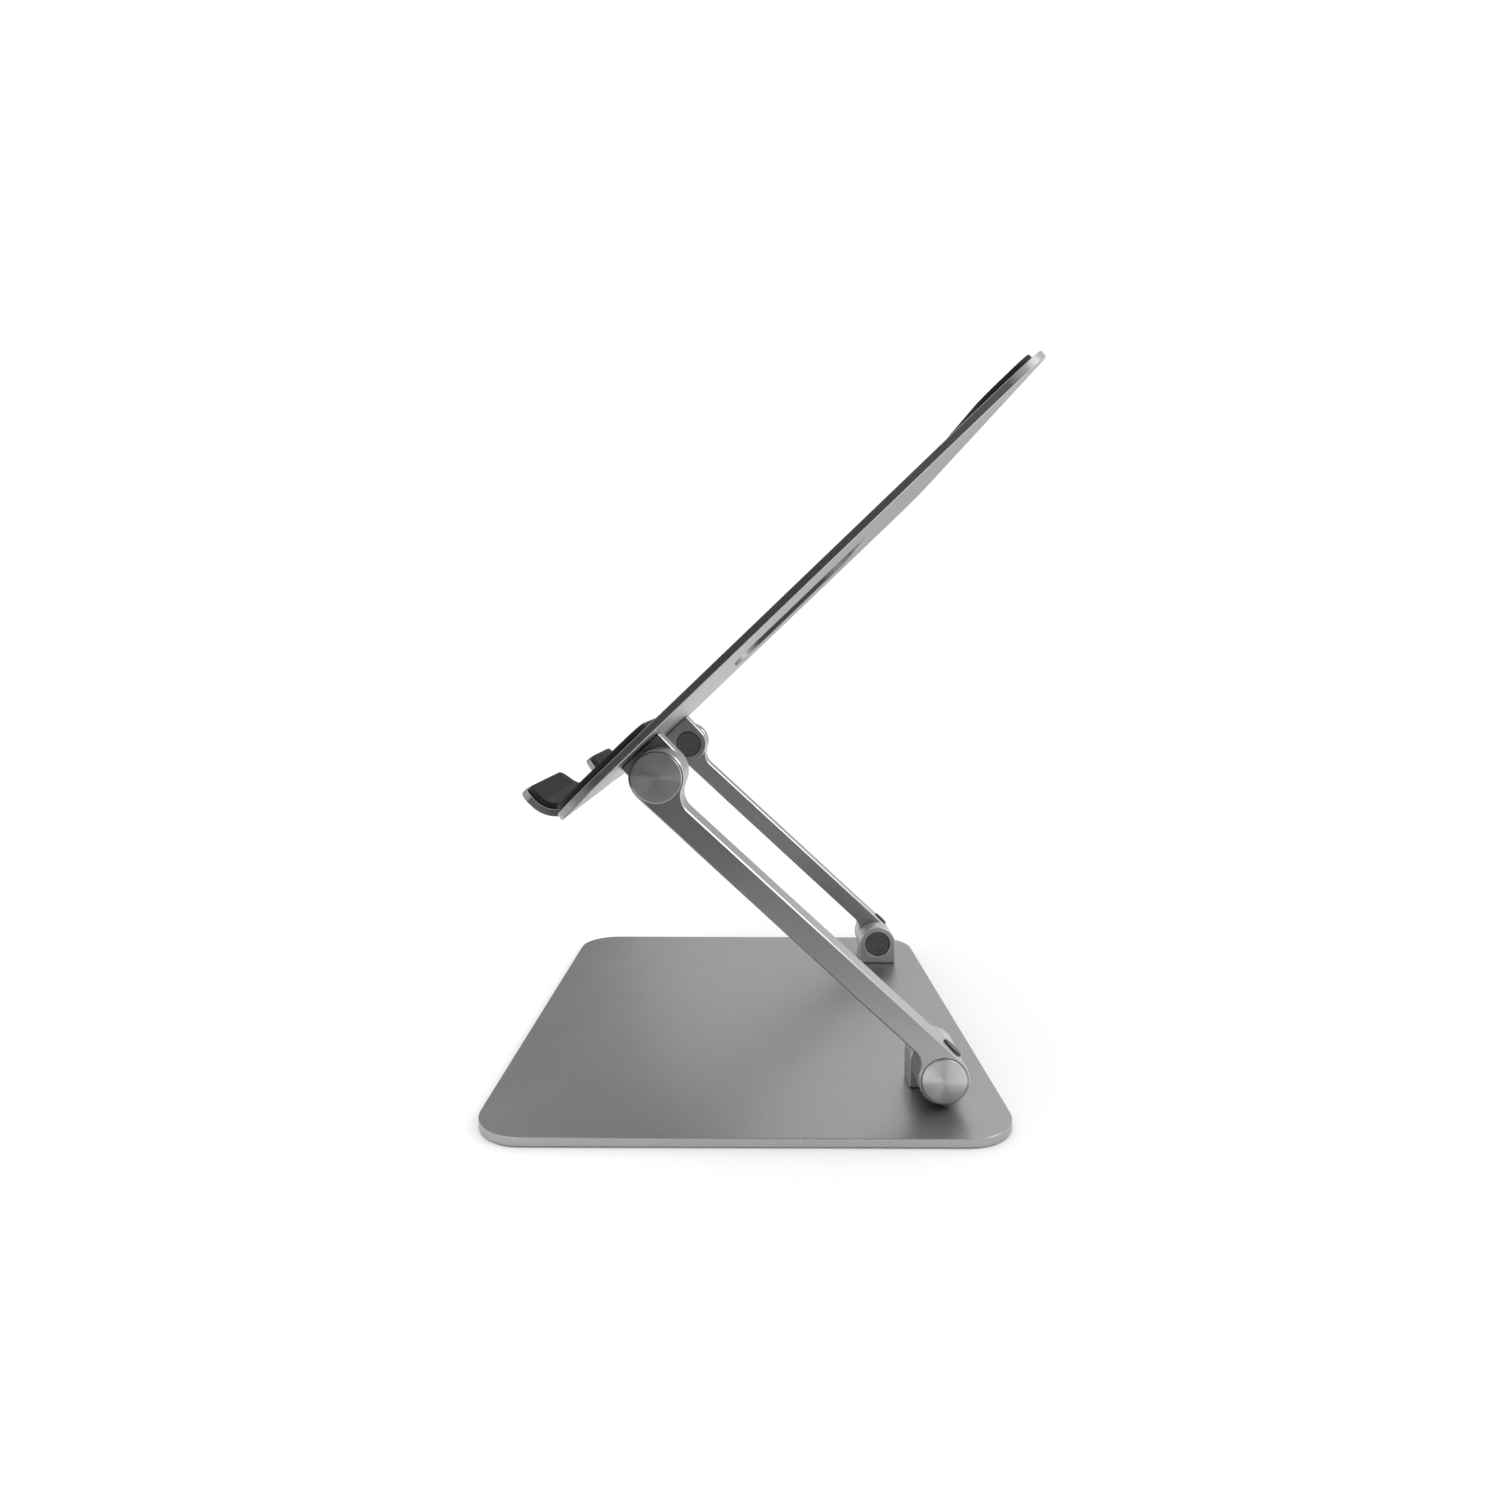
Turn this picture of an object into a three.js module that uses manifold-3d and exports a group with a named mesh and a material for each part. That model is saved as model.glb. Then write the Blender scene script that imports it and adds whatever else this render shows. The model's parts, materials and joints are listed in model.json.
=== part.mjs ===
// Folding tablet stand: a weighted base plate, two side arms, and a tray with
// two hooked lips, joined by four friction hinges.
//
// Millimetres, +Z up. The origin is the centre of the base's underside, +X runs
// along the hinge axes and +Y points to the back. The user sits on the -Y side.
import * as THREE from 'three';
import { mergeVertices } from 'three/addons/utils/BufferGeometryUtils.js';
import Module from 'manifold-3d';

const wasm = await Module();
wasm.setup();

// ---------------------------------------------------------------------------
// Driving dimensions
// ---------------------------------------------------------------------------
const SEAM = 0.12; // gap between two pieces that touch
const PLAY = 0.3; // running clearance round a moving piece

const BASE_WIDTH = 240;
const BASE_DEPTH = 200;
const BASE_THICKNESS = 3.4;
const BASE_CORNER = 20;
const PAD_THICKNESS = 0.4;
const PAD_INSET = 3;
const BASE_TOP = PAD_THICKNESS + BASE_THICKNESS;

const LOWER_PIVOT_BACK = 75.4; // from the base's centre to the lower hinge axis
const PIVOT_HEIGHT = 11.1; // from the base's top to the lower hinge axis
const PIVOT_SPAN = 158.2; // between the two hinge axes of an arm
const ARM_RISE = 46.6; // degrees between an arm and the base
const TRAY_RISE = 43.85; // degrees between the tray and the base

// Stations of the hinge stack, from the middle plane outwards.
const LUG_INNER = 70;
const LUG_OUTER = 82;
const ARM_INNER = 82.5;
const ARM_OUTER = 98.6;
const WEB_OUTER = 88; // floor of the pocket in the arm's outer face

const BRACKET_RADIUS = 10;
const EAR_RADIUS = 10.1;
const LOWER_BOSS = 9.8;
const UPPER_BOSS = 10.4;
const LOWER_CAP = 8.6;
const UPPER_CAP = 9.5;
const ARM_SKEW = 3.95; // degrees between the bar's edges and the line of the axes
const ARM_FILLET = 8;

const BOLT_RADIUS = 4;
const BOLT_HEAD_RADIUS = 6.2;
const PLUG_RADIUS = 6.8;

const TRAY_WIDTH = 250;
const TRAY_THICKNESS = 2.8;
const TRAY_LIFT = 12.1; // from the upper hinge axis to the tray's underside
const TRAY_BOTTOM = -34; // along the tray, from the upper hinge axis
const TRAY_TOP = 200.5;
const TRAY_CORNER_BOTTOM = 22;
const TRAY_CORNER_TOP = 24;
const TRAY_FACE = TRAY_LIFT + TRAY_THICKNESS;

const VENT_WIDTH = 100;
const VENT_BOTTOM = 50;
const VENT_TOP = 131;
const VENT_CORNER = 20;

const LIP_REACH = 8.4; // how far the lip stands out below the tray's edge
const LIP_TIP = 31; // height of the lip's tip above the upper hinge axis
const LIP_BEND = 12; // outer radius of the bend between tray and lip
const LIP_ROOT_INNER = 24;
const LIP_TIP_INNER = 38;
const LIP_TIP_OUTER = 93.5;
const LIP_ROOT_OUTER = 89.5;
const LIP_INNER_CORNER = 9;
const LIP_OUTER_CORNER = 4.5;
const LIP_FLARE = 8; // how much wider a lip's root is on its inner side
const LIP_FLARE_HEIGHT = 1; // from the tray's face to the top of the flare
const LIP_OVERLAP = 6; // length of the lip's flat part that lies in the tray
const RELIEF_WIDTH = 2.5; // of the slot that frees a lip's bend from the tray's corner
const RELIEF_CORNER = 1;
const LIP_FACE = TRAY_BOTTOM - LIP_REACH;
const BEND_START = LIP_FACE + LIP_BEND;

const SILICONE_THICKNESS = 2.2;
const GRIP_INSET = 2; // from the tray's lower edge
const LINING_INSET = 0.5; // from the lip's outline
const GRIP_SIDE_INSET = 3.5; // from the tray's side
const GRIP_TOP = 12.7;
const HEAD_PAD_INSET = 2.5; // from the tray's upper edge
const HEAD_PAD_SIDE_INSET = 12; // from the tray's side
const HEAD_PAD_INNER = 62;
const HEAD_PAD_OUTER_START = 171.5;
const HEAD_PAD_INNER_START = 168.5;
const PAD_CORNER = 8;

const SCREW_RADIUS = 1.9;
const SCREW_HEAD_RADIUS = 3.7;
const SCREW_HEAD_HEIGHT = 2;
const SCREW_HEAD_SINK = 0.1; // from the face round a screw to its head
const SCREW_SHANK_ROOT = 0.4; // how far the shank runs into the head
const SCREW_STATION = 78; // X of the screws, clear of the plug's pocket
const SCREW_SPREAD = 6; // each screw's distance from the hinge axis

const BUMPER_STATION = 90.5;
const BUMPER_ALONG = 3; // from the lower hinge axis, along the arm's upper edge
const BUMPER_RADIUS = 4.1;
const BUMPER_PROUD = 0.9;
const BUMPER_DEPTH = 0.4; // the shallow seat leaves a wall over the nut's pocket

const FACET = 10; // degrees of arc in one facet
const UPRIGHT_SIDES = 20;
const SLACK = 1; // how far a cutting body runs past what it cuts

const SIDES = { left: -1, right: 1 };

// ---------------------------------------------------------------------------
// Colours
// ---------------------------------------------------------------------------
const FINISHES = {
  anodised: { color: 0x8f8e90, roughness: 0.42, metalness: 0.9 },
  spun: { color: 0xa9a9a6, roughness: 0.28, metalness: 1 },
  steel: { color: 0x9a9a9a, roughness: 0.35, metalness: 1 },
  spring: { color: 0x6a6a6c, roughness: 0.4, metalness: 1 },
  acetal: { color: 0xd9d6cc, roughness: 0.5, metalness: 0 },
  silicone: { color: 0x2b2a28, roughness: 0.75, metalness: 0 },
  rubber: { color: 0x222222, roughness: 0.85, metalness: 0 },
  plastic: { color: 0x3a3636, roughness: 0.55, metalness: 0 },
};

// ---------------------------------------------------------------------------
// Outlines
// ---------------------------------------------------------------------------
const radians = THREE.MathUtils.degToRad;
const point = (x, y) => new THREE.Vector2(x, y);

/** Points on an arc between two angles in degrees, counter-clockwise if `to` is the larger. */
function arc(centre, radius, from, to) {
  const count = Math.max(1, Math.round(Math.abs(to - from) / FACET));
  return Array.from({ length: count + 1 }, (_, step) => {
    const angle = radians(from + ((to - from) * step) / count);
    return point(centre.x + radius * Math.cos(angle), centre.y + radius * Math.sin(angle));
  });
}

/** A closed outline whose corners are rounded: each corner is [x, y, radius], counter-clockwise. */
function roundedOutline(corners) {
  const points = corners.flatMap(([x, y, radius], index) => {
    const corner = point(x, y);
    if (radius === 0) return [corner];
    const before = point(...corners.at(index - 1)).sub(corner).normalize();
    const after = point(...corners[(index + 1) % corners.length]).sub(corner).normalize();
    const halfAngle = Math.acos(before.dot(after)) / 2;
    const bisector = before.clone().add(after).normalize();
    const centre = corner.clone().addScaledVector(bisector, radius / Math.sin(halfAngle));
    const reach = radius / Math.tan(halfAngle);
    const start = corner.clone().addScaledVector(before, reach).sub(centre);
    const end = corner.clone().addScaledVector(after, reach).sub(centre);
    const turn = THREE.MathUtils.radToDeg(Math.atan2(start.cross(end), start.dot(end)));
    const from = THREE.MathUtils.radToDeg(start.angle());
    return arc(centre, radius, from, from + turn);
  });
  return new THREE.Shape(points);
}

/** A rectangle from (x0, y0) to (x1, y1) with one radius for its lower and one for its upper corners. */
function roundedRectangle(x0, y0, x1, y1, lowerRadius, upperRadius = lowerRadius) {
  return roundedOutline([
    [x0, y0, lowerRadius],
    [x1, y0, lowerRadius],
    [x1, y1, upperRadius],
    [x0, y1, upperRadius],
  ]);
}

/** The same outline on the other side of the middle plane when `side` is -1. */
function onSide(corners, side) {
  return side > 0 ? corners : corners.map(([x, y, radius]) => [-x, y, radius]).reverse();
}

// ---------------------------------------------------------------------------
// Solids
// ---------------------------------------------------------------------------
const ALONG_X = new THREE.Matrix4().makeBasis(
  new THREE.Vector3(0, 1, 0),
  new THREE.Vector3(0, 0, 1),
  new THREE.Vector3(1, 0, 0),
);
const ALONG_MINUS_Y = new THREE.Matrix4().makeBasis(
  new THREE.Vector3(1, 0, 0),
  new THREE.Vector3(0, 0, 1),
  new THREE.Vector3(0, -1, 0),
);

/** Thickens an outline between two stations along its own normal. */
function thicken(shape, from, to) {
  const low = Math.min(from, to);
  const geometry = new THREE.ExtrudeGeometry(shape, { depth: Math.abs(to - from), bevelEnabled: false });
  return geometry.translate(0, 0, low);
}

/** An outline in X and Y, thickened along Z. */
const slab = (shape, z0, z1) => thicken(shape, z0, z1);

/** An outline in Y and Z, thickened along X. */
const crossPiece = (shape, x0, x1) => thicken(shape, x0, x1).applyMatrix4(ALONG_X);

/** An outline in X and Z, thickened along Y. */
const curtain = (shape, y0, y1) => thicken(shape, -y0, -y1).applyMatrix4(ALONG_MINUS_Y);

/** A round bar or cone round the X axis, from station x0 with radius r0 to x1 with r1. */
function roundBar(x0, x1, r0, r1 = r0) {
  const [low, high, lowRadius, highRadius] = x0 < x1 ? [x0, x1, r0, r1] : [x1, x0, r1, r0];
  const geometry = new THREE.CylinderGeometry(highRadius, lowRadius, high - low, 360 / FACET);
  return geometry.rotateZ(-Math.PI / 2).translate((low + high) / 2, 0, 0);
}

/** A ring round the X axis: each corner of its section is [station, radius], outer wall outwards. */
function ring(section) {
  const corners = [...section, section[0]].map(([station, radius]) => point(radius, station));
  return geometryOf(solid(new THREE.LatheGeometry(corners, 360 / FACET).rotateZ(-Math.PI / 2)));
}

/** A round bar or cone along Z at (x, y), from height z0 with radius r0 to z1 with r1. */
function upright(x, y, z0, z1, r0, r1 = r0) {
  const [low, high, lowRadius, highRadius] = z0 < z1 ? [z0, z1, r0, r1] : [z1, z0, r1, r0];
  const geometry = new THREE.CylinderGeometry(highRadius, lowRadius, high - low, UPRIGHT_SIDES);
  return geometry.rotateX(Math.PI / 2).translate(x, y, (low + high) / 2);
}

/** A closed geometry as a manifold solid. */
function solid(geometry) {
  const bare = new THREE.BufferGeometry();
  bare.setAttribute('position', geometry.getAttribute('position'));
  bare.setIndex(geometry.index);
  const merged = mergeVertices(bare);
  return new wasm.Manifold(new wasm.Mesh({
    numProp: 3,
    vertProperties: merged.getAttribute('position').array,
    triVerts: new Uint32Array(merged.index.array),
  }));
}

/** One geometry with others joined to it. */
const joined = (first, ...others) => others.reduce((sum, other) => sum.add(solid(other)), solid(first));

/** A manifold solid back as a geometry. */
function geometryOf(manifold) {
  const { vertProperties, triVerts } = manifold.getMesh();
  const geometry = new THREE.BufferGeometry();
  geometry.setAttribute('position', new THREE.BufferAttribute(new Float32Array(vertProperties), 3));
  geometry.setIndex(new THREE.BufferAttribute(new Uint32Array(triVerts), 1));
  geometry.computeVertexNormals();
  return geometry;
}

/** A body with other bodies cut away. */
function cutFrom(body, ...cutters) {
  const start = body instanceof THREE.BufferGeometry ? solid(body) : body;
  return geometryOf(cutters.reduce((rest, cutter) => rest.subtract(solid(cutter)), start));
}

/** A named piece with its own finish. */
function piece(name, finish, geometry) {
  const mesh = new THREE.Mesh(geometry, new THREE.MeshStandardMaterial(FINISHES[finish]));
  mesh.name = name;
  return mesh;
}

// ---------------------------------------------------------------------------
// Base
// ---------------------------------------------------------------------------
function basePlate() {
  const outline = roundedRectangle(
    -BASE_WIDTH / 2, -BASE_DEPTH / 2, BASE_WIDTH / 2, BASE_DEPTH / 2, BASE_CORNER,
  );
  const bottom = PAD_THICKNESS + SEAM;
  const screwCuts = Object.values(SIDES).flatMap((side) => [-1, 1].flatMap((end) => {
    const x = side * SCREW_STATION;
    const y = LOWER_PIVOT_BACK + end * SCREW_SPREAD;
    const coneTop = bottom + SCREW_HEAD_HEIGHT;
    return [
      upright(x, y, bottom - SLACK, bottom, SCREW_HEAD_RADIUS + PLAY),
      upright(x, y, bottom, coneTop, SCREW_HEAD_RADIUS + PLAY, SCREW_RADIUS + PLAY),
      upright(x, y, coneTop, BASE_TOP + SLACK, SCREW_RADIUS + PLAY),
    ];
  }));
  return piece('base_plate', 'anodised', cutFrom(slab(outline, bottom, BASE_TOP), ...screwCuts));
}

function basePad() {
  const halfWidth = BASE_WIDTH / 2 - PAD_INSET;
  const halfDepth = BASE_DEPTH / 2 - PAD_INSET;
  const outline = roundedRectangle(-halfWidth, -halfDepth, halfWidth, halfDepth, BASE_CORNER - PAD_INSET);
  return piece('base_pad', 'rubber', slab(outline, 0, PAD_THICKNESS));
}

/** A countersunk screw along Z: its head's flat face is at z0 and its tip at z1. */
function countersunkScrew(name, x, y, z0, z1) {
  const way = Math.sign(z1 - z0);
  const headEnd = z0 + way * SCREW_HEAD_HEIGHT;
  const inside = headEnd - way * SCREW_SHANK_ROOT;
  const body = joined(
    upright(x, y, z0, headEnd, SCREW_HEAD_RADIUS, SCREW_RADIUS),
    upright(x, y, inside, z1, SCREW_RADIUS),
  );
  return piece(name, 'steel', geometryOf(body));
}

// ---------------------------------------------------------------------------
// Lugs: the bracket that stands on the base and the ear under the tray
// ---------------------------------------------------------------------------
const BOLT_BORE = BOLT_RADIUS + PLAY;
const PLUG_POCKET_DEPTH = 5;

/** A lug's outline in Y and Z: a round end on the hinge axis and a flat foot at footHeight. */
function lugOutline(radius, footHeight) {
  const up = footHeight < 0;
  const round = up ? arc(point(0, 0), radius, 0, 180) : arc(point(0, 0), radius, 180, 360);
  const foot = up
    ? [point(-radius, footHeight), point(radius, footHeight)]
    : [point(radius, footHeight), point(-radius, footHeight)];
  return new THREE.Shape([...round, ...foot]);
}

/** A right-hand lug with its bolt bore, its plug's pocket, and two blind screw holes in its foot. */
function lug(name, radius, footHeight, holeDepth) {
  const body = crossPiece(lugOutline(radius, footHeight), LUG_INNER, LUG_OUTER);
  const into = -Math.sign(footHeight);
  const screwHoles = [-1, 1].map((end) => upright(
    SCREW_STATION, end * SCREW_SPREAD,
    footHeight - into * SLACK, footHeight + into * holeDepth, SCREW_RADIUS + PLAY,
  ));
  return piece(name, 'anodised', cutFrom(
    body,
    roundBar(LUG_INNER - SLACK, LUG_OUTER + SLACK, BOLT_BORE),
    roundBar(LUG_INNER - SLACK, LUG_INNER + PLUG_POCKET_DEPTH, PLUG_RADIUS + PLAY),
    ...screwHoles,
  ));
}

// ---------------------------------------------------------------------------
// Hinge hardware of a right-hand hinge, round the X axis
// ---------------------------------------------------------------------------
const WASHER_LIFT = 0.25; // from the lug's outer face to the inner washer
const INNER_WASHER_RADIUS = 8;
const INNER_WASHER_THICKNESS = 0.9;
const OUTER_WASHER_THICKNESS = 0.8;
const SPRING_RISE = 1.6;
const SPRING_SHEET = 0.9;
const SPRING_INSET = 0.8; // from the pocket's washer to the spring's rim
const NUT_THICKNESS = 3.2;
const NUT_RADIUS = 7; // to its corners
const NUT_TURN = 15; // degrees
const BOLT_END_PROUD = 0.5;
const HEAD_CROWN = 0.4;
const CAP_THICKNESS = 2.2;
const CAP_PROUD = 0.8;
const CAP_CHAMFER = 0.4;
const PLUG_THICKNESS = 1.2;
const PLUG_RECESS = 0.8;
const PLUG_GROOVE_RADIUS = 4.7;
const PLUG_GROOVE_WIDTH = 0.5;
const PLUG_GROOVE_DEPTH = 0.3;
const POCKET_PLAY = 0.15; // between a cap and its pocket

const INNER_WASHER_START = LUG_OUTER + WASHER_LIFT;
const OUTER_WASHER_START = WEB_OUTER + PLAY;
const SPRING_START = OUTER_WASHER_START + OUTER_WASHER_THICKNESS + PLAY;
const NUT_START = SPRING_START + SPRING_RISE + PLAY;
const BOLT_END = NUT_START + NUT_THICKNESS + BOLT_END_PROUD;
const BOLT_HEAD_START = LUG_INNER + PLUG_RECESS + PLUG_THICKNESS + PLAY;
const BOLT_HEAD_END = LUG_INNER + PLUG_POCKET_DEPTH - PLAY;

/** The bolt: a low round head in the lug's pocket and a shank through lug and arm. */
function bolt(name) {
  const body = joined(
    roundBar(BOLT_HEAD_START, BOLT_HEAD_END, BOLT_HEAD_RADIUS - HEAD_CROWN, BOLT_HEAD_RADIUS),
    roundBar(BOLT_HEAD_END - SLACK, BOLT_END, BOLT_RADIUS),
  );
  return piece(name, 'steel', geometryOf(body));
}

/** A flat friction washer. */
function washer(name, start, thickness, radius) {
  const end = start + thickness;
  return piece(name, 'acetal', ring([[start, BOLT_BORE], [start, radius], [end, radius], [end, BOLT_BORE]]));
}

/** The coned spring washer that loads the friction faces: its rim is low and its bore high. */
function springWasher(name, radius) {
  const end = SPRING_START + SPRING_RISE;
  return piece(name, 'spring', ring([
    [end - SPRING_SHEET, BOLT_BORE],
    [SPRING_START, radius],
    [SPRING_START + SPRING_SHEET, radius],
    [end, BOLT_BORE],
  ]));
}

function nut(name) {
  const corners = Array.from({ length: 6 }, (_, corner) => {
    const angle = radians(60 * corner + NUT_TURN);
    return point(Math.cos(angle), Math.sin(angle)).multiplyScalar(NUT_RADIUS);
  });
  const block = crossPiece(new THREE.Shape(corners), NUT_START, NUT_START + NUT_THICKNESS);
  return piece(name, 'steel', cutFrom(block, roundBar(NUT_START - SLACK, BOLT_END + SLACK, BOLT_BORE)));
}

/** The spun disc that closes the arm's pocket, with a chamfered rim. */
function cap(name, radius) {
  const front = ARM_OUTER + CAP_PROUD;
  const body = joined(
    roundBar(front - CAP_THICKNESS, front - CAP_CHAMFER, radius),
    roundBar(front - CAP_CHAMFER, front, radius, radius - CAP_CHAMFER),
  );
  return piece(name, 'spun', geometryOf(body));
}

/** The dark plug in the lug's inner face, with a shallow round groove in it. */
function plug(name) {
  const front = LUG_INNER + PLUG_RECESS;
  const floor = front + PLUG_GROOVE_DEPTH;
  const outer = PLUG_GROOVE_RADIUS;
  const inner = PLUG_GROOVE_RADIUS - PLUG_GROOVE_WIDTH;
  const groove = ring([[front - SLACK, inner], [front - SLACK, outer], [floor, outer], [floor, inner]]);
  return piece(name, 'plastic', cutFrom(roundBar(front, front + PLUG_THICKNESS, PLUG_RADIUS), groove));
}

/** Every loose piece of one hinge. */
function hingeHardware(level, label, capRadius) {
  const innerWasher = INNER_WASHER_RADIUS;
  const pocketWasher = capRadius - PLAY;
  return [
    bolt(`${level}_bolt_${label}`),
    washer(`${level}_inner_washer_${label}`, INNER_WASHER_START, INNER_WASHER_THICKNESS, innerWasher),
    washer(`${level}_outer_washer_${label}`, OUTER_WASHER_START, OUTER_WASHER_THICKNESS, pocketWasher),
    springWasher(`${level}_spring_washer_${label}`, pocketWasher - SPRING_INSET),
    nut(`${level}_nut_${label}`),
    cap(`${level}_cap_${label}`, capRadius),
    plug(`${level}_plug_${label}`),
  ];
}

/** A right-hand hinge's piece, given half a turn about Z if it is for the left. */
function turnedTo(side, mesh) {
  if (side < 0) mesh.geometry.rotateZ(Math.PI);
  return mesh;
}

// ---------------------------------------------------------------------------
// Arms: in their own frame the lower hinge axis is the origin, the upper one
// lies at -PIVOT_SPAN along Y, and +Z is the arm's upper, rear edge
// ---------------------------------------------------------------------------
const edgeRun = point(-Math.cos(radians(ARM_SKEW)), -Math.sin(radians(ARM_SKEW)));
const edgeOut = point(-Math.sin(radians(ARM_SKEW)), Math.cos(radians(ARM_SKEW)));

/** The fillet where a bar's edge runs into a boss, then the boss up to where the other edge leaves it. */
function bossEnd(boss, radius, edgeStart, run, out) {
  const toBoss = boss.clone().sub(edgeStart);
  const drop = ARM_FILLET - toBoss.dot(out);
  const before = Math.sqrt((radius + ARM_FILLET) ** 2 - drop ** 2);
  const centre = edgeStart.clone()
    .addScaledVector(out, ARM_FILLET)
    .addScaledVector(run, toBoss.dot(run) - before);
  const degrees = (vector) => THREE.MathUtils.radToDeg(vector.angle());
  const filletFrom = degrees(out.clone().negate());
  const toContact = degrees(boss.clone().sub(centre));
  const filletTo = toContact > filletFrom ? toContact - 360 : toContact;
  const bossFrom = toContact - 180;
  const leave = degrees(out.clone().negate());
  const bossTo = leave + 360 * Math.ceil((bossFrom - leave) / 360);
  return [...arc(centre, ARM_FILLET, filletFrom, filletTo), ...arc(boss, radius, bossFrom, bossTo)];
}

function armOutline() {
  const lower = point(0, 0);
  const upper = point(-PIVOT_SPAN, 0);
  const upperEdge = lower.clone().addScaledVector(edgeOut, LOWER_BOSS);
  const lowerEdge = upper.clone().addScaledVector(edgeOut, -UPPER_BOSS);
  return new THREE.Shape([
    ...bossEnd(upper, UPPER_BOSS, upperEdge, edgeRun, edgeOut),
    ...bossEnd(lower, LOWER_BOSS, lowerEdge, edgeRun.clone().negate(), edgeOut.clone().negate()),
  ]);
}

/** Moves a geometry made round the lower hinge axis to the upper one. */
const toUpperPivot = (geometry) => geometry.translate(0, -PIVOT_SPAN, 0);

/** The bores and pockets of one boss, round the lower hinge axis. */
function bossCuts(side, capRadius) {
  const recess = INNER_WASHER_THICKNESS + PLAY;
  return [
    roundBar(side * (ARM_INNER - SLACK), side * (ARM_OUTER + SLACK), BOLT_BORE),
    roundBar(side * (ARM_INNER - SLACK), side * (ARM_INNER + recess), INNER_WASHER_RADIUS + PLAY),
    roundBar(side * WEB_OUTER, side * (ARM_OUTER + SLACK), capRadius + POCKET_PLAY),
  ];
}

/** A round disc on the arm's upper edge, between two heights measured from that edge. */
function bumperDisc(side, from, to, radius) {
  return upright(side * BUMPER_STATION, -BUMPER_ALONG, LOWER_BOSS + from, LOWER_BOSS + to, radius)
    .rotateX(radians(ARM_SKEW));
}

function arm(label, side) {
  const body = crossPiece(armOutline(), side * ARM_INNER, side * ARM_OUTER);
  return piece(`arm_${label}`, 'anodised', cutFrom(
    body,
    ...bossCuts(side, LOWER_CAP),
    ...bossCuts(side, UPPER_CAP).map(toUpperPivot),
    bumperDisc(side, -BUMPER_DEPTH, SLACK, BUMPER_RADIUS + SEAM),
  ));
}

function bumper(label, side) {
  const disc = bumperDisc(side, SEAM - BUMPER_DEPTH, BUMPER_PROUD, BUMPER_RADIUS);
  return piece(`bumper_${label}`, 'rubber', disc);
}

// ---------------------------------------------------------------------------
// Tray: in its own frame the upper hinge axis is the origin, +Y runs up the
// tray and +Z points out of its front
// ---------------------------------------------------------------------------

/** The side view of a bent sheet: along the tray's face, round the bend, and up the lip. */
function bentSheet(lipFace, bendRadius, trayFace, thickness, upperEnd, lipEnd) {
  const centre = point(lipFace + bendRadius, trayFace + bendRadius);
  const innerRadius = bendRadius - thickness;
  return new THREE.Shape([
    ...arc(centre, bendRadius, 180, 270),
    point(upperEnd, trayFace),
    point(upperEnd, trayFace + thickness),
    ...arc(centre, innerRadius, 270, 180),
    point(lipFace + thickness, lipEnd),
    point(lipFace, lipEnd),
  ]);
}

/** A lip's outline seen along the tray: a flared root and two sloping sides. */
function lipOutline(side, inset) {
  const tip = LIP_TIP - inset;
  return roundedOutline(onSide([
    [LIP_ROOT_INNER - LIP_FLARE + inset, TRAY_LIFT - SLACK, 0],
    [LIP_ROOT_OUTER - inset, TRAY_LIFT - SLACK, 0],
    [LIP_TIP_OUTER - inset, tip, LIP_OUTER_CORNER - inset],
    [LIP_TIP_INNER + inset, tip, LIP_INNER_CORNER - inset],
    [LIP_ROOT_INNER + inset, TRAY_FACE + LIP_FLARE_HEIGHT, LIP_INNER_CORNER],
  ], side));
}

function lip(side) {
  const flatEnd = BEND_START + LIP_OVERLAP;
  const sheet = bentSheet(LIP_FACE, LIP_BEND, TRAY_LIFT, TRAY_THICKNESS, flatEnd, LIP_TIP);
  const inner = LIP_ROOT_INNER - LIP_FLARE - SLACK;
  const width = crossPiece(sheet, side * inner, side * LIP_TIP_OUTER);
  const profile = curtain(lipOutline(side, 0), LIP_FACE - SLACK, flatEnd + SLACK);
  return solid(width).intersect(solid(profile));
}

const EAR_SCREW_HEAD = TRAY_FACE - SCREW_HEAD_SINK;

function trayPanel() {
  const half = TRAY_WIDTH / 2;
  const outline = roundedRectangle(
    -half, TRAY_BOTTOM, half, TRAY_TOP, TRAY_CORNER_BOTTOM, TRAY_CORNER_TOP,
  );
  const vent = roundedRectangle(-VENT_WIDTH / 2, VENT_BOTTOM, VENT_WIDTH / 2, VENT_TOP, VENT_CORNER);
  const freed = LIP_ROOT_OUTER + RELIEF_WIDTH;
  const lowerEdge = roundedRectangle(-freed, TRAY_BOTTOM - SLACK, freed, BEND_START, 0, RELIEF_CORNER);
  const plate = solid(slab(outline, TRAY_LIFT, TRAY_FACE))
    .subtract(solid(slab(lowerEdge, TRAY_LIFT - SLACK, TRAY_FACE + SLACK)))
    .add(lip(-1))
    .add(lip(1));
  const screwCuts = Object.values(SIDES).flatMap((side) => [-1, 1].flatMap((end) => {
    const x = side * SCREW_STATION;
    const y = end * SCREW_SPREAD;
    const coneEnd = EAR_SCREW_HEAD - SCREW_HEAD_HEIGHT;
    return [
      upright(x, y, EAR_SCREW_HEAD, TRAY_FACE + SLACK, SCREW_HEAD_RADIUS + PLAY),
      upright(x, y, EAR_SCREW_HEAD, coneEnd, SCREW_HEAD_RADIUS + PLAY, SCREW_RADIUS + PLAY),
      upright(x, y, coneEnd, TRAY_LIFT - SLACK, SCREW_RADIUS + PLAY),
    ];
  }));
  const ventCut = slab(vent, TRAY_LIFT - SLACK, TRAY_FACE + SLACK);
  return piece('tray_panel', 'anodised', cutFrom(plate, ventCut, ...screwCuts));
}

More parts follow.
